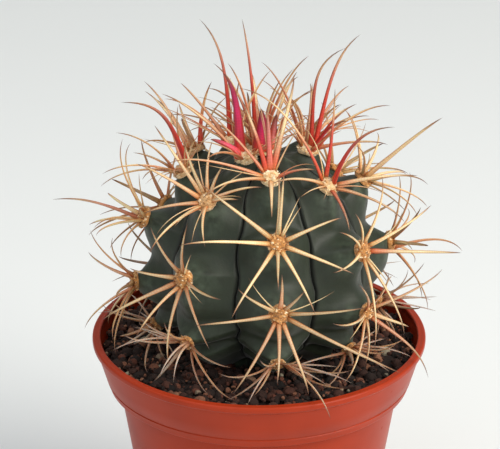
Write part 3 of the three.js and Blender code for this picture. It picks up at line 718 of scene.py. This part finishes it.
def soil_plug():
    """The points and faces of the soil's solid, with its top lowered to lie under the grains."""
    plug = bmesh.new()
    plug.from_mesh(frame["nodes"]["soil"].data)
    bmesh.ops.remove_doubles(plug, verts=plug.verts, dist=1e-6)
    points = np.array([v.co for v in plug.verts])
    faces = [tuple(v.index for v in face.verts) for face in plug.faces]
    plug.free()
    points[:, 2] -= np.where(points[:, 2] > (SOIL_TOP - 2) * MM, 1.1 * MM, 0)
    return points, faces


def strewn(draw, count, size, kinds, low, high):
    """Grains strewn over the soil, turned at random, between two heights over its top."""
    grains = []
    while len(grains) < count:
        turn = draw.uniform(0, 2 * math.pi)
        reach = math.sqrt(draw.uniform(GRIT_NEAREST**2, GRIT_FARTHEST**2))
        x, y = reach * math.cos(turn), reach * math.sin(turn)
        grain = size * draw.uniform(0.5, 1.45)
        z = SOIL_TOP + draw.uniform(low, high) + 0.6 * noise.noise(Vector((x, y, 3)) * 0.12)
        if reach > POT_INSIDE - grain:
            continue
        shape, faces = kinds[draw.randrange(len(kinds))]
        spin = Matrix.Rotation(draw.uniform(0, 6.3), 3, "X") @ Matrix.Rotation(draw.uniform(0, 6.3), 3, "Z")
        stretch = Matrix.Diagonal((grain, grain * draw.uniform(0.7, 1), grain * draw.uniform(0.6, 0.9)))
        points = shape @ np.array(spin @ stretch).T + (x, y, z)
        grains.append((points * MM, faces, {"tone": (draw.random() ** 1.15, 0, 0)}, 0))
    return grains


# Spines and felt


def face_angle(face, corner):
    for loop in face.loops:
        if loop.vert == corner:
            return loop.calc_angle()
    return 0


def spine_lines(node, areole):
    """Each spine of a star's solid: its line from root to tip and its radius, in millimetres."""
    name, _, (place, out, _, _) = areole
    star = bmesh.new()
    star.from_mesh(frame["nodes"][node].data)
    bmesh.ops.remove_doubles(star, verts=star.verts, dist=2e-6)
    lines = []
    for tip in star.verts:
        # A tip is where three narrow faces meet
        ring = [edge.other_vert(tip) for edge in tip.link_edges]
        if len(ring) != 3 or sum(face_angle(face, tip) for face in tip.link_faces) > 1.7:
            continue
        first = sum((v.co for v in ring), Vector()) / 3 / MM
        seen = {tip, *ring}
        inner = {edge.other_vert(v) for v in ring for edge in v.link_edges} - seen
        inner = [v for v in inner if (v.co / MM - first).length > 0.15 * (tip.co / MM - first).length]
        middle = sum((v.co for v in inner), Vector()) / max(1, len(inner)) / MM
        if len(inner) != 3:
            middle = first + (place + out - first) * 0.45
        # It roots in a ring on the felt pad, which is wider on the crown
        flat = middle - place
        flat -= out * flat.dot(out)
        spread = 3.6 if name == "crown" else 2.5
        root = place + (flat.normalized() * min(spread, flat.length)) + out * 0.8
        girth = sum((v.co / MM - first).length for v in ring) / 3 / LAST_RING_TAPER
        lines.append(((root, middle, first, tip.co / MM), girth))
    star.free()
    return lines


def along_line(line, t, hook):
    """A point on the smooth line through a spine's four points.

    Its tip stays in its place, and the hook bends its end that way and its shaft the other way.
    """
    total = Vector()
    for i, point in enumerate(line):
        weight = 1.0
        for j, stand in enumerate(STANDS):
            if j != i:
                weight *= (t - stand) / (STANDS[i] - stand)
        total += point * weight
    return total + hook * (t**5 - t)


def spine_model(rings, sides):
    """A straight spine of unit radius and length up the Z axis, closed at its foot and tip."""
    deselect()
    bpy.ops.mesh.primitive_cone_add(vertices=sides, radius1=1, radius2=0.5, depth=1, location=(0, 0, 0.5))
    model = bpy.context.object
    bpy.ops.object.transform_apply()
    bpy.ops.object.mode_set(mode="EDIT")
    bpy.ops.mesh.select_mode(type="VERT")
    for i in range(1, rings):
        bpy.ops.mesh.select_all(action="SELECT")
        bpy.ops.mesh.bisect(plane_co=(0, 0, i / rings), plane_no=(0, 0, 1))
    for height in (0, 1):
        bpy.ops.mesh.select_all(action="DESELECT")
        bpy.ops.object.mode_set(mode="OBJECT")
        for v in model.data.vertices:
            v.select = abs(v.co.z - height) < 1e-5
        bpy.ops.object.mode_set(mode="EDIT")
        if height == 1:
            bpy.ops.mesh.merge(type="CENTER")
    close_edit()
    return shape_of(model)


def hair_model():
    """A thin three-sided hair of unit length up the Z axis, pointed at its tip."""
    deselect()
    bpy.ops.mesh.primitive_cone_add(vertices=3, radius1=1, radius2=0, depth=1, location=(0, 0, 0.5))
    model = bpy.context.object
    bpy.ops.object.transform_apply()
    edit_all()
    bpy.ops.mesh.bisect(plane_co=(0, 0, 0.5), plane_no=(0, 0, 1))
    bpy.ops.object.mode_set(mode="OBJECT")
    return shape_of(model)


def grown_spine(model, line, half_width, flatness, tone, out, draw, hook):
    """A spine along its line: flattened, swollen at the root and drawn out to its tip."""
    shape, faces = model
    points = np.empty_like(shape)
    grain = np.empty_like(shape)
    looks = np.empty_like(shape)
    length = sum((b - a).length for a, b in zip(line, line[1:]))
    rows = {}
    twist = draw.uniform(-0.3, 0.3)
    seed = draw.uniform(0, 50)
    chord = (line[3] - line[0]).normalized()
    upright = max(0.0, 1 - 2.5 * chord.cross(out).length)
    flat_side = chord.cross(out)
    if flat_side.length <= 0.15:
        flat_side = chord.cross(Vector((0, 1, 0)))
    for i, (x, y, z) in enumerate(shape):
        t = round(z, 4)
        if t not in rows:
            centre = along_line(line, t, hook)
            before, after = (along_line(line, max(0, min(1, t + step)), hook) for step in (-0.02, 0.02))
            tangent = (after - before).normalized()
            across = (flat_side - tangent * flat_side.dot(tangent)).normalized()
            thick = across.cross(tangent) * (flatness + (1 - flatness) * upright)
            taper = (1 - t**2.4) ** 0.8 * (0.86 + 0.14 * math.cos(min(1, t * 2.2) * math.pi))
            swollen = 1 + 0.12 * math.exp(-((t * length / 2.5) ** 2))
            uneven = 1 + 0.1 * noise.noise(Vector((t * length * 0.35, seed, 0)))
            rows[t] = centre, across, thick, half_width * taper * swollen * uneven
        centre, across, thick, size = rows[t]
        turn = math.atan2(y, x)
        reach = min(1, math.hypot(x, y))
        if t < 1:
            reach = 1 if reach > 1e-6 else 0
        side, rise = math.cos(turn), math.sin(turn)
        points[i] = centre + (across * side + thick * rise) * size * reach
        grain[i] = math.cos(turn + twist), math.sin(turn + twist), t * length
        looks[i] = t, tone, abs(side)
    return points * MM, faces, grain, looks


def thin_spine(model, areole, young, old, draw):
    """A thin spine between the full-grown ones: straw near the crown, grey over the soil."""
    place, out, up, right = areole[2]
    if old > 0:
        # Over the soil they sprawl to both sides
        turn = math.radians(draw.uniform(-105, 105))
        ahead = Vector((out.x, out.y, 0)).normalized()
        way = ahead * math.cos(turn) + right * math.sin(turn) + Vector((0, 0, draw.uniform(-0.2, 0.08)))
        way.normalize()
        flat = (way - out * way.dot(out)).normalized()
        bend = Vector((0, 0, draw.uniform(0.01, 0.08))) + way.cross(out) * draw.uniform(-0.1, 0.1)
    else:
        turn = draw.uniform(0, 2 * math.pi)
        lift = math.radians(draw.uniform(8, 30) + 30 * young * draw.random())
        flat = up * math.cos(turn) + right * math.sin(turn)
        way = flat * math.cos(lift) + out * math.sin(lift)
        back = out - way * out.dot(way)
        bend = back * draw.uniform(0.02, 0.1) + way.cross(out) * draw.uniform(-0.06, 0.06)
    length = draw.uniform(10, 19) + 6 * max(young, old)
    root = place + flat * 2.2 + out * 0.8
    bend *= length
    line = [root + way * length * t + bend * 4 * t * (1 - t) for t in STANDS]
    half = draw.uniform(0.3, 0.46) + 0.18 * old
    tone = draw.uniform(0.8, 1.1) * (1 + 0.15 * old)
    points, faces, grain, looks = grown_spine(model, line, half, 0.8, tone, out, draw, bend * -0.5)
    age = (0.7 * young * draw.random(), 0, old * draw.uniform(0.8, 1))
    return points, faces, {"grain": grain, "looks": looks, "age": age}, 0


def own_looks(name, areole, lines):
    """The looks of the spines that have their own, by the spine's place in the list."""
    _, out, up, right = areole[2]
    found = {}
    for hour, rise, length, *values in OWN_LOOKS.get(name, ()):
        turn, lift = math.radians(hour * 30), math.radians(rise)
        way = (up * math.cos(turn) + right * math.sin(turn)) * math.cos(lift) + out * math.sin(lift)
        # A spine is known by its direction and its length, with a miss of up to 28 degrees
        misses = {}
        for i, (line, _) in enumerate(lines):
            chord = line[3] - line[0]
            misses[i] = math.degrees(way.angle(chord)) + 40 * abs(math.log(chord.length / length))
        nearest = min((i for i in misses if i not in found), key=misses.get)
        if misses[nearest] < 28:
            found[nearest] = values
    return found


def felt_models():
    """The dome, the hair and the tuft that the felt of every areole is copied from."""
    deselect()
    bpy.ops.mesh.primitive_uv_sphere_add(segments=28, ring_count=16, radius=1)
    models = {"pad": shape_of(bpy.context.object), "hair": hair_model()}
    deselect()
    bpy.ops.mesh.primitive_ico_sphere_add(subdivisions=1, radius=1)
    models["tuft"] = shape_of(bpy.context.object)
    return models


def ages_of(latitude):
    """How young and how old a star is, each from 0 to 1."""
    return max(0.0, min(1.0, (latitude - 40) / 25)), max(0.0, min(1.0, (-8 - latitude) / 14))


def full_spine(model, areole, line, girth, own, half_width, draw):
    """A full-grown spine with looks of its own, or else with those that are usual at its height."""
    _, latitude, (_, out, _, _) = areole
    young, old = ages_of(latitude)
    chord = line[3] - line[0]
    way = chord.normalized()
    rosy = young * draw.uniform(0.1, 0.8) if latitude > 15 else draw.uniform(0.05, 0.4)
    usual = rosy, 0, draw.uniform(0.2, 1.2), 1 if latitude > 15 else 0.86, 1
    red, magenta, reach, bright, fatter, *hook = own or usual
    half = half_width * girth / USUAL_RADIUS * fatter * draw.uniform(0.94, 1.06)
    # The oldest are worn a little thinner
    if old > 0.3:
        half *= 0.96
    lift = out - way * out.dot(way)
    upright = max(0, 1 - 1.6 * lift.length)
    curl = chord.cross(out).normalized() * draw.uniform(-0.05, 0.05) - lift * draw.uniform(0.04, 0.12)
    outward = Vector((out.x, out.y, 0)).normalized()
    curl += outward * upright * draw.uniform(0.08, 0.14)
    if hook:
        curl = outward * hook[0] + Vector((0, 0, hook[1]))
    tone = bright * draw.uniform(0.76, 1.08)
    points, faces, grain, looks = grown_spine(model, line, half, 0.6, tone, out, draw, curl * chord.length)
    fade = np.clip((reach + 0.2 - looks[:, 0]) / 0.3, 0, 1)
    worn = old * draw.uniform(0.15, 0.8)
    age = np.stack([red * fade, np.full_like(fade, magenta), np.full_like(fade, worn)], axis=1)
    return points, faces, {"grain": grain, "looks": looks, "age": age}, 0


def felt_parts(areole, models, settings, young, draw):
    """The felt pad of an areole: a dome of matted tufts with a fringe of fine hairs, worn small when old."""
    name, latitude, (place, out, up, right) = areole
    newest = name == "crown"
    width, length, height = (5.6, 5.6, 2.4) if newest else (3.2, 3.4, 2.2)
    if latitude < 0:
        width, length, height = 2.7, 2.9, 1.9
    if latitude < -12:
        width, length, height = 2.3, 2.5, 1.7
    seed = Vector([draw.uniform(-50, 50) for _ in range(3)])

    def surface(way):
        """A point of the pad over its foot, in the way of a unit direction in the areole's frame."""
        lump = 1 + 0.14 * noise.noise(way * 2.3 + seed) + 0.07 * noise.noise(way * 6 + seed)
        across, along, over = way.x * width * lump, way.y * length * lump, way.z * height * lump
        return place + right * across + up * along + out * (over - 0.3)

    def part(points, faces, tone):
        """Points of felt, whose looks are its tone and how new it is."""
        values = {"grain": np.zeros(3), "looks": (tone, 1, young), "age": np.zeros(3)}
        return np.array(points) * MM, faces, values, 1

    shape, faces = models["pad"]
    parts = [part([surface(Vector((x, y, max(z, -0.35)))) for x, y, z in shape], faces, 0.3)]
    shape, faces = models["tuft"]
    for _ in range(settings.tufts * (2 if newest else 1)):
        way = Vector((draw.gauss(0, 1), draw.gauss(0, 1), abs(draw.gauss(0, 1)))).normalized()
        centre = surface(way * 0.97)
        size = draw.uniform(0.3, 0.62)
        stretch = Matrix.Diagonal((size, size * 0.7, size * 0.8))
        spin = Matrix.Rotation(draw.uniform(0, 6.3), 3, "X")
        points = shape @ np.array(spin @ stretch).T + np.array(centre)
        parts.append(part(points, faces, draw.random() ** 1.7))
    shape, faces = models["hair"]
    for _ in range(settings.hairs * (2 if newest else 1)):
        way = Vector((draw.gauss(0, 1), draw.gauss(0, 1), abs(draw.gauss(0, 0.5)))).normalized()
        root = surface(way * 0.93)
        grown = (right * way.x + up * way.y + out * way.z * 1.2).normalized()
        stray = right * draw.gauss(0, 1) + up * draw.gauss(0, 1) + out * draw.gauss(0, 0.6)
        lean = (grown + stray * 0.5).normalized()
        bend = lean.cross(Vector([draw.gauss(0, 1) for _ in range(3)])).normalized()
        size = draw.uniform(0.5, 1.2) * (1.25 if young > 0.5 else 1)
        side = lean.orthogonal().normalized()
        other = lean.cross(side)
        points = []
        for x, y, z in shape:
            middle = root + lean * (z * size) + bend * (0.35 * size * z * z)
            points.append(middle + (side * x + other * y) * HAIR_RADIUS)
        parts.append(part(points, faces, 0.55 + 0.45 * draw.random()))
    return parts


# Light


def soft_light(name, place, target, size, power, colour):
    """A square soft light at a place, turned to a target."""
    light = bpy.data.lights.new(name, "AREA")
    light.size = size
    light.energy = power
    light.color = linear(colour)
    lamp = bpy.data.objects.new(name, light)
    bpy.context.scene.collection.objects.link(lamp)
    lamp.location = place
    lamp.rotation_euler = (Vector(target) - Vector(place)).to_track_quat("-Z", "Y").to_euler()


# Operators


class CACTUS_OT_pot(bpy.types.Operator):
    """Turns the nursery pot with its collar, groove, rolled lip and drain holes"""

    bl_idname = "cactus.pot"
    bl_label = "Nursery pot"

    def execute(self, context):
        pot = context.scene.plant.pot
        sizes = [getattr(pot, key) / MM for key in ("height", "rim_radius", "base_radius", "wall")]
        made = turned("plastic_pot", [(r * MM, z * MM) for r, z in pot_profile(*sizes)], 160)
        for i in range(6):
            drain(made, i * math.pi / 3)
        made.data.materials.clear()
        made.data.materials.append(pot_plastic(tuple(pot.colour)))
        finish(made, "pot", sharp=28)
        return {"FINISHED"}


class CACTUS_OT_soil(bpy.types.Operator):
    """Lays the soil plug and strews grit over its top"""

    bl_idname = "cactus.soil"
    bl_label = "Gritty soil"

    def execute(self, context):
        soil = context.scene.plant.soil
        draw = random.Random(11)
        stones = [broken_stone(draw) for _ in range(6)]
        deselect()
        bpy.ops.mesh.primitive_ico_sphere_add(subdivisions=1, radius=1)
        crumb = shape_of(bpy.context.object)
        parts = [(*soil_plug(), {"tone": (0.2, 0, 0)}, 0)]
        parts += strewn(draw, soil.stones, soil.stone / MM, stones, -0.9, 0.35)
        parts += strewn(draw, soil.crumbs, 0.42 * soil.stone / MM, [crumb], -0.5, 0.75)
        made = gathered("gritty_soil", parts, [grit(tuple(soil.colour))])
        finish(made, "soil", sharp=35)
        return {"FINISHED"}


class CACTUS_OT_stem(bpy.types.Operator):
    """Shapes the ribbed and knobbed stem from a ball"""

    bl_idname = "cactus.stem"
    bl_label = "Ribbed stem"

    def execute(self, context):
        stem = context.scene.plant.stem
        # The lowest rows, a twentieth of them, run 8.5 mm straight down into the soil
        around, down, sunk, sunk_depth = 240, 190, 0.05, 8.5
        deselect()
        bpy.ops.mesh.primitive_uv_sphere_add(segments=around, ring_count=down, radius=1)
        made = named("ribbed_stem")
        ball = points_of(made)
        shaped = np.empty_like(ball)
        form = np.zeros_like(ball)
        for i, (x, y, z) in enumerate(ball):
            row = round(math.acos(max(-1, min(1, z))) / math.pi * down) / down
            if row < 1e-6:
                point, share, notch = stem_point(90, 0, 0), 0, 0
            elif row > 1 - 1e-6:
                point, share, notch = Vector((STEM_X, 0, SOIL_TOP - 8.7)), 1, 0
            else:
                turn = math.atan2(x, -y) / (2 * math.pi) * len(RIBS) % len(RIBS)
                surface = min(1, row / (1 - sunk))
                latitude = 90 + (SOIL_LATITUDE - 90) * surface**0.9
                point, share, notch = skin_point(turn, latitude, stem.keel / MM, stem.crease / MM)
                point = point.copy()
                if row > 1 - sunk:
                    point.z -= (row - 1 + sunk) / sunk * sunk_depth
                # The skin swells and sinks by a few tenths of a millimetre
                ripple = noise.noise(point * 0.07) * 0.35 + noise.noise(point * 0.25) * 0.1
                point += (point - Vector((STEM_X, 0, STEM_WIDEST_Z))).normalized() * (ripple - 0.2)
            shaped[i] = point
            # The form holds the share towards the furrow, where the skin is darkened as painted shade, the
            # knob crest, where its pale bloom is partly a painted highlight, and the notch
            form[i] = (share, (1 - notch) * max(0, 1 - 1.4 * share), notch)
        made.data.vertices.foreach_set("co", (shaped * MM).ravel())
        held = made.data.attributes.new("form", "FLOAT_VECTOR", "POINT")
        held.data.foreach_set("vector", form.astype(np.float32).ravel())
        edit_all()
        close_edit()
        made.data.materials.clear()
        made.data.materials.append(waxy_skin(tuple(stem.colour), tuple(stem.furrow_shade_colour)))
        finish(made, "cactus_stem")
        return {"FINISHED"}


class CACTUS_OT_spines(bpy.types.Operator):
    """Grows every star of spines with its felt pad and wool, and the newest spines of the crown"""

    bl_idname = "cactus.spines"
    bl_label = "Stars of spines"

    def execute(self, context):
        settings = context.scene.plant.spines
        model = spine_model(18, 8)
        thin = spine_model(9, 5)
        felt = felt_models()
        horn = spine_horn(tuple(settings.straw), tuple(settings.red), tuple(settings.magenta))
        wool = felt_wool(tuple(settings.felt))
        slots = {m["slot"] for m in frame["record"]["materials"]}
        for areole in [CROWN, *AREOLES]:
            name, latitude, _ = areole
            draw = random.Random(name)
            young, old = ages_of(latitude)
            lines = spine_lines(f"spines_{name}", areole)
            if len(lines) < 3:
                raise RuntimeError(f"star {name} has only {len(lines)} spines")
            looks = own_looks(name, areole, lines)
            half = settings.half_width / MM
            parts = []
            for i, (line, girth) in enumerate(lines):
                parts.append(full_spine(model, areole, line, girth, looks.get(i), half, draw))
            extra = settings.extra_young if young > 0.3 else settings.extra_old if old > 0.1 else 2
            if name == "crown":
                extra = 8
            for _ in range(extra):
                parts.append(thin_spine(thin, areole, young, old, draw))
            parts += felt_parts(areole, felt, settings, young, draw)
            slot_name = "spine_young" if latitude > 48 else "spine_old" if latitude < -12 else "spine_straw"
            if slot_name not in slots:
                raise RuntimeError(f"the record has no slot {slot_name}")
            made = gathered(f"spine_star_{name}", parts, [horn, wool])
            finish(made, f"spines_{name}")
        return {"FINISHED"}


class CACTUS_OT_stage(bpy.types.Operator):
    """Sets the pale floor, the soft lights and the camera"""

    bl_idname = "cactus.stage"
    bl_label = "Stage, lights and camera"

    def execute(self, context):
        deselect()
        bpy.ops.mesh.primitive_plane_add(size=1, location=(0, 0, 0))
        floor = named("floor")
        corners = ((-4, -2), (4, -2), (-4, 2.2), (4, 2.2))
        floor.data.vertices.foreach_set("co", [c for x, y in corners for c in (x, y, -0.0002)])
        bpy.ops.object.mode_set(mode="EDIT")
        bpy.ops.mesh.select_all(action="DESELECT")
        bpy.ops.object.mode_set(mode="OBJECT")
        for edge in floor.data.edges:
            edge.select = all(floor.data.vertices[i].co.y > 2 for i in edge.vertices)
        for v in floor.data.vertices:
            v.select = v.co.y > 2
        bpy.ops.object.mode_set(mode="EDIT")
        bpy.ops.mesh.select_mode(type="EDGE")
        # The far edge sweeps up in a cove
        for i in range(8):
            turn = math.radians(90 * (i + 0.5) / 8)
            step = (0, 0.16 * math.cos(turn), 0.16 * math.sin(turn))
            bpy.ops.mesh.extrude_edges_move(TRANSFORM_OT_translate={"value": step})
        bpy.ops.mesh.extrude_edges_move(TRANSFORM_OT_translate={"value": (0, 0, 3)})
        bpy.ops.object.mode_set(mode="OBJECT")
        bpy.ops.object.shade_smooth()
        paper, _, shader = new_material("pale_paper", Roughness=0.9)
        shader.inputs["Base Color"].default_value = (*linear("#e9ecec"), 1)
        floor.data.materials.append(paper)

        soft_light("key", (0.95, -0.65, 0.95), (0, 0, 0.1), 1.0, 23.5, "#fffaf2")
        soft_light("fill", (-0.7, -1.2, 0.7), (0, 0, 0.1), 1.2, 3, "#eef4ff")
        soft_light("top", (-0.45, -0.3, 1.3), (-0.2, -0.1, 0), 1.2, 6.5, "#ffffff")
        world = bpy.data.worlds.new("pale_room")
        world.use_nodes = True
        world.node_tree.nodes["Background"].inputs["Color"].default_value = (*linear("#eceff0"), 1)
        world.node_tree.nodes["Background"].inputs["Strength"].default_value = 0.42
        context.scene.world = world

        camera = bpy.data.objects.new("camera", bpy.data.cameras.new("camera"))
        context.scene.collection.objects.link(camera)
        camera.data.sensor_width = 36
        # A long lens a metre off looks 24 degrees down, as in the photo
        camera.data.lens = 217.8
        camera.location = (-0.00298, -0.8984, 0.5271)
        camera.rotation_euler = (math.radians(65.98), 0, 0)
        context.scene.camera = camera
        context.scene.view_settings.view_transform = "Standard"
        return {"FINISHED"}


class CACTUS_PT_panel(bpy.types.Panel):
    """Lists the operators of the plant"""

    bl_label = "Potted barrel cactus"
    bl_idname = "CACTUS_PT_panel"
    bl_space_type = "VIEW_3D"
    bl_region_type = "UI"
    bl_category = "Cactus"

    def draw(self, context):
        for operator in OPERATORS:
            self.layout.operator(operator.bl_idname)


OPERATORS = (CACTUS_OT_stage, CACTUS_OT_pot, CACTUS_OT_soil, CACTUS_OT_stem, CACTUS_OT_spines)
SETTINGS = (PotSettings, SoilSettings, StemSettings, SpineSettings, PlantSettings)
CLASSES = (*SETTINGS, *OPERATORS, CACTUS_PT_panel)


def register():
    for cls in CLASSES:
        bpy.utils.register_class(cls)
    held = bpy.props.PointerProperty(type=PlantSettings, name="Plant", description="The potted plant")
    bpy.types.Scene.plant = held


def unregister():
    del bpy.types.Scene.plant
    for cls in reversed(CLASSES):
        bpy.utils.unregister_class(cls)


def main():
    register()
    bpy.ops.cactus.stage()
    bpy.ops.cactus.pot()
    bpy.ops.cactus.soil()
    bpy.ops.cactus.stem()
    bpy.ops.cactus.spines()


if __name__ == "__main__":
    main()
